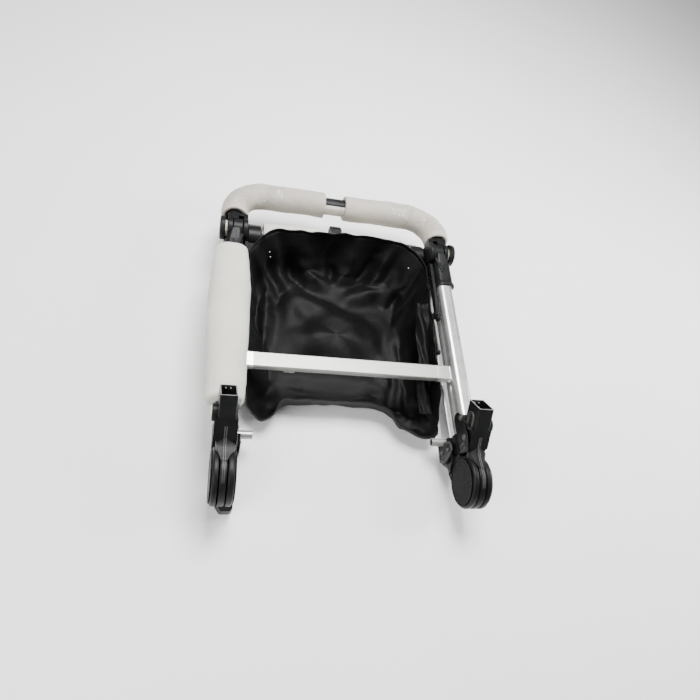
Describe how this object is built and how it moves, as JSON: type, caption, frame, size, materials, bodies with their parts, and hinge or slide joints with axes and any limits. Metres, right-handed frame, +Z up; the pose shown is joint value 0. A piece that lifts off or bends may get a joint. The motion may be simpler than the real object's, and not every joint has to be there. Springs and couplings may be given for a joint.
{
  "type": "pet stroller",
  "caption": "Pet stroller chassis folded flat: aluminium legs on fold hubs, carrier sockets, angled push handle, nylon under-basket and foam packing sleeves.",
  "frame": {"origin": "middle of the folded chassis's base, on the floor", "axes": "+X to the right-hand side, +Y from the fold hubs to the push handle, +Z up"},
  "size_m": [0.544, 0.7344, 0.1995],
  "materials": {
    "aluminium": "satin anodised",
    "steel": "zinc plated",
    "black_plastic": "moulded, fine texture",
    "grip": "smooth, with a stitched cream underside",
    "cream_plastic": "smooth",
    "foam": "expanded polyethylene foam",
    "nylon_fabric": "woven nylon"
  },
  "bodies": {
    "front_frame": {"front_hub_left": "black_plastic", "front_hub_right": "black_plastic", "front_leg_left": "aluminium", "front_leg_right": "aluminium", "caster_socket_left": "black_plastic", "caster_socket_right": "black_plastic", "spigot_left": "aluminium", "spigot_right": "aluminium", "hub_axle_left": "steel", "hub_axle_right": "steel", "hub_cap_outer_left": "black_plastic", "hub_cap_outer_right": "black_plastic", "hub_foot_left": "black_plastic", "front_cross_tube": "aluminium"},
    "rear_frame": {"rear_hub_left": "black_plastic", "rear_hub_right": "black_plastic", "hub_cap_inner_left": "black_plastic", "hub_cap_inner_right": "black_plastic", "rear_leg_left": "aluminium", "rear_leg_right": "aluminium", "axle_housing_left": "black_plastic", "axle_housing_right": "black_plastic", "rear_axle_tube": "steel", "rear_axle_foam": "foam", "basket": "nylon_fabric"},
    "upper_frame": {"upper_hub_left": "black_plastic", "upper_hub_right": "black_plastic", "upper_tube_left": "aluminium", "upper_tube_right": "aluminium", "crossbar_end_left": "steel", "crossbar_end_right": "steel", "handle_base_left": "black_plastic", "handle_base_right": "black_plastic", "crossbar": "aluminium", "crossbar_bolt": "steel", "tube_foam_left": "foam"},
    "handle": {"handle_hub_left": "black_plastic", "handle_hub_right": "black_plastic", "handle_ring_left": "cream_plastic", "handle_ring_right": "cream_plastic", "handle_pin_left": "steel", "handle_pin_right": "steel", "handle_foam_left": "foam", "handle_foam_right": "foam", "handlebar_tube": "aluminium", "handle_grip": "grip"},
    "brake_pedal": {"brake_pedal": "black_plastic"},
    "brake_pin_left": {"brake_pin_left": "steel"},
    "socket_button_left": {"socket_button_left": "black_plastic"},
    "release_left": {"release_link_left": "black_plastic", "release_rod_left": "steel"},
    "handle_button_left": {"handle_button_left": "black_plastic"},
    "brake_pin_right": {"brake_pin_right": "steel"},
    "socket_button_right": {"socket_button_right": "black_plastic"},
    "release_right": {"release_link_right": "black_plastic", "release_rod_right": "steel"},
    "handle_button_right": {"handle_button_right": "black_plastic"}
  },
  "joints": [
    {"name": "frame_unfold", "type": "hinge", "parent": "front_frame", "child": "upper_frame", "pos_m": [0.007, -0.31721, 0.092], "axis": [1, 0, 0], "range_deg": [0, 165]},
    {"name": "rear_leg_spread", "type": "hinge", "parent": "front_frame", "child": "rear_frame", "pos_m": [0.007, -0.31721, 0.092], "axis": [1, 0, 0], "range_deg": [0, 80]},
    {"name": "handle_angle", "type": "hinge", "parent": "upper_frame", "child": "handle", "pos_m": [0.007, 0.21579, 0.117], "axis": [1, 0, 0], "range_deg": [0, 100]},
    {"name": "brake_press", "type": "hinge", "parent": "rear_frame", "child": "brake_pedal", "pos_m": [0.007, 0.26279, 0.052], "axis": [-1, 0, 0], "range_deg": [0, 18]},
    {"name": "brake_pin_slide_left", "type": "slide", "parent": "rear_frame", "child": "brake_pin_left", "axis": [-1, 0, 0], "range_m": [0, 0.0065]},
    {"name": "socket_button_press_left", "type": "slide", "parent": "upper_frame", "child": "socket_button_left", "axis": [1, 0, 0], "range_m": [0, 0.003], "stiffness_N_per_m": 400},
    {"name": "handle_button_press_left", "type": "slide", "parent": "handle", "child": "handle_button_left", "axis": [1, 0, 0], "range_m": [0, 0.003], "stiffness_N_per_m": 400},
    {"name": "release_pull_left", "type": "slide", "parent": "upper_frame", "child": "release_left", "axis": [0, -1, 0], "range_m": [0, 0.008], "stiffness_N_per_m": 400},
    {"name": "brake_pin_slide_right", "type": "slide", "parent": "rear_frame", "child": "brake_pin_right", "axis": [1, 0, 0], "range_m": [0, 0.0065]},
    {"name": "socket_button_press_right", "type": "slide", "parent": "upper_frame", "child": "socket_button_right", "axis": [-1, 0, 0], "range_m": [0, 0.003], "stiffness_N_per_m": 400},
    {"name": "handle_button_press_right", "type": "slide", "parent": "handle", "child": "handle_button_right", "axis": [-1, 0, 0], "range_m": [0, 0.003], "stiffness_N_per_m": 400},
    {"name": "release_pull_right", "type": "slide", "parent": "upper_frame", "child": "release_right", "axis": [0, -1, 0], "range_m": [0, 0.008], "stiffness_N_per_m": 400}
  ],
  "couplings": [
    {"joint": "rear_leg_spread", "follows": "frame_unfold", "ratio": 0.4848},
    {"joint": "brake_pin_slide_left", "follows": "brake_press", "m_per_rad": 0.019079},
    {"joint": "brake_pin_slide_right", "follows": "brake_press", "m_per_rad": 0.019079},
    {"joint": "release_pull_right", "follows": "release_pull_left", "ratio": 1}
  ]
}
